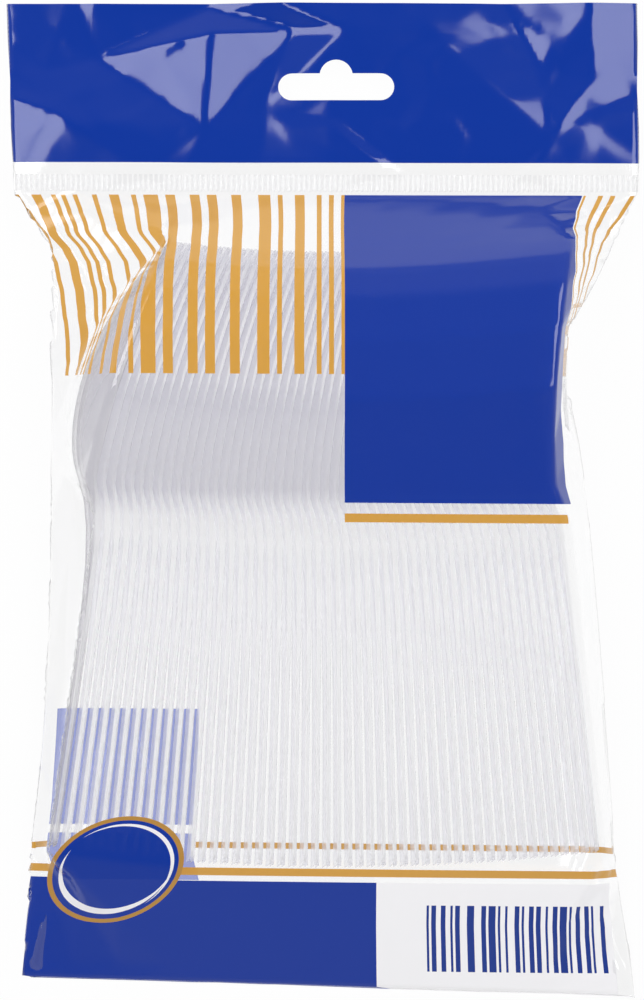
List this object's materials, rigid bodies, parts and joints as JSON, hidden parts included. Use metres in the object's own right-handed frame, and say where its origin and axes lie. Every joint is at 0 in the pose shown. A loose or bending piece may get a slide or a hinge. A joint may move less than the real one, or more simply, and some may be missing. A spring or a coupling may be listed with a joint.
{
  "type": "plastic cutlery pack",
  "caption": "Sealed clear film bag with a flat hang header and printed bands, holding a row of nested clear plastic spoons standing on edge.",
  "frame": {"origin": "under the middle of the pack, on the plane its back lies on", "axes": "+X across the pack to the right as seen from the front, +Y towards the hang header, +Z out through the front film"},
  "size_m": [0.1746, 0.2762, 0.0429],
  "materials": {
    "printed_film": "thin clear polypropylene film, gloss, with blue and gold print",
    "clear_plastic": "clear moulded polystyrene, polished"
  },
  "bodies": {
    "root": {"film_bag": "printed_film", "spoon_01": "clear_plastic", "spoon_02": "clear_plastic", "spoon_03": "clear_plastic", "spoon_04": "clear_plastic", "spoon_05": "clear_plastic", "spoon_06": "clear_plastic", "spoon_07": "clear_plastic", "spoon_08": "clear_plastic", "spoon_09": "clear_plastic", "spoon_10": "clear_plastic", "spoon_11": "clear_plastic", "spoon_12": "clear_plastic", "spoon_13": "clear_plastic", "spoon_14": "clear_plastic", "spoon_15": "clear_plastic", "spoon_16": "clear_plastic", "spoon_17": "clear_plastic", "spoon_18": "clear_plastic", "spoon_19": "clear_plastic", "spoon_20": "clear_plastic", "spoon_21": "clear_plastic", "spoon_22": "clear_plastic", "spoon_23": "clear_plastic", "spoon_24": "clear_plastic", "spoon_25": "clear_plastic", "spoon_26": "clear_plastic", "spoon_27": "clear_plastic", "spoon_28": "clear_plastic", "spoon_29": "clear_plastic", "spoon_30": "clear_plastic", "spoon_31": "clear_plastic", "spoon_32": "clear_plastic", "spoon_33": "clear_plastic", "spoon_34": "clear_plastic", "spoon_35": "clear_plastic", "spoon_36": "clear_plastic", "spoon_37": "clear_plastic", "spoon_38": "clear_plastic", "spoon_39": "clear_plastic", "spoon_40": "clear_plastic", "spoon_41": "clear_plastic", "spoon_42": "clear_plastic", "spoon_43": "clear_plastic", "spoon_44": "clear_plastic", "spoon_45": "clear_plastic", "spoon_46": "clear_plastic", "spoon_47": "clear_plastic", "spoon_48": "clear_plastic", "spoon_49": "clear_plastic", "spoon_50": "clear_plastic"}
  },
  "joints": []
}
